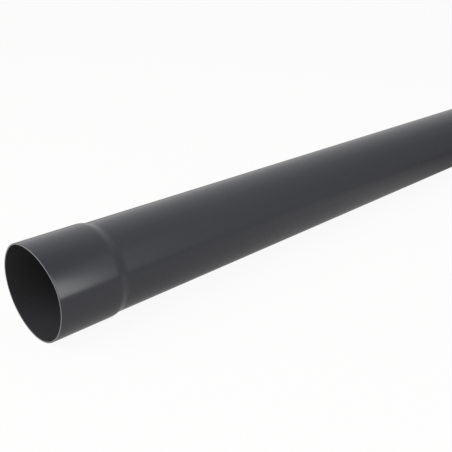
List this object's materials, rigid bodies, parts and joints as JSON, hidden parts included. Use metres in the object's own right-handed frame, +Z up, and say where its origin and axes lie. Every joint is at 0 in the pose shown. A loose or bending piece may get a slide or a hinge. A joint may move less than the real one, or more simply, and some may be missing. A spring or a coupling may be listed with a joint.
{
  "type": "downpipe",
  "caption": "Round rigid plastic rainwater downpipe, one straight length with a belled socket at one end and a plain square-cut spigot at the other.",
  "frame": {"origin": "centre of the socket's mouth, on the pipe's axis", "axes": "+X along the pipe from the socket's mouth to the plain end, +Z up as the pipe lies on the ground"},
  "size_m": [2, 0.0828, 0.083],
  "materials": {
    "rigid_pvc": "extruded, satin, anthracite grey"
  },
  "bodies": {
    "root": {"downpipe": "rigid_pvc"}
  },
  "joints": []
}
